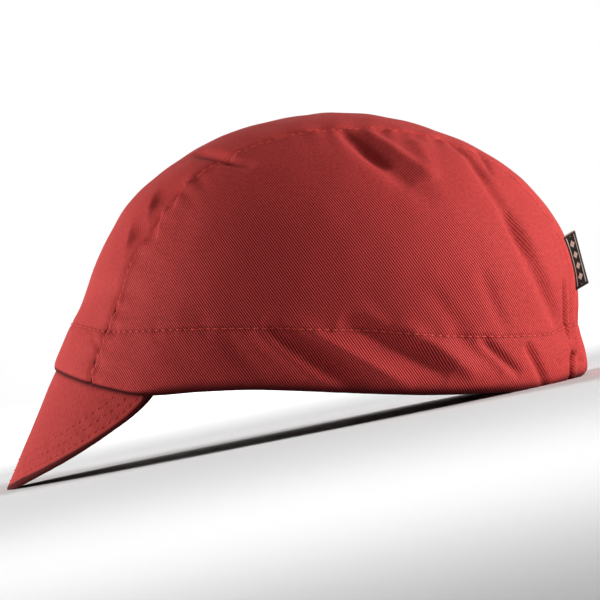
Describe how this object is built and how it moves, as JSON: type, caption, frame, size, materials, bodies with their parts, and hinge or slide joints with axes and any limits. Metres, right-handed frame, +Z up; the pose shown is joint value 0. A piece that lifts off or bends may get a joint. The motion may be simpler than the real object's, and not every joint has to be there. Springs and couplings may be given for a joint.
{
  "type": "cycling cap",
  "caption": "Soft three-panel cotton twill cycling cap with a short stitched down-turned peak, sweatband, gathered back and side label.",
  "frame": {"origin": "on the surface that the cap stands on, below the middle of its overall box", "axes": "+Y from the peak to the back of the cap, +Z up, +X to the wearer's left"},
  "size_m": [0.1684, 0.235, 0.1194],
  "materials": {
    "twill": "matt red cotton twill with a soft sheen",
    "sweatband_tape": "matt red plain-woven cotton tape",
    "label_tape": "black woven satin tape with a plain cream figure"
  },
  "bodies": {
    "root": {"side_panel_left": "twill", "side_panel_right": "twill", "centre_panel": "twill", "peak": "twill", "sweatband": "sweatband_tape", "back_label": "label_tape"}
  },
  "joints": []
}
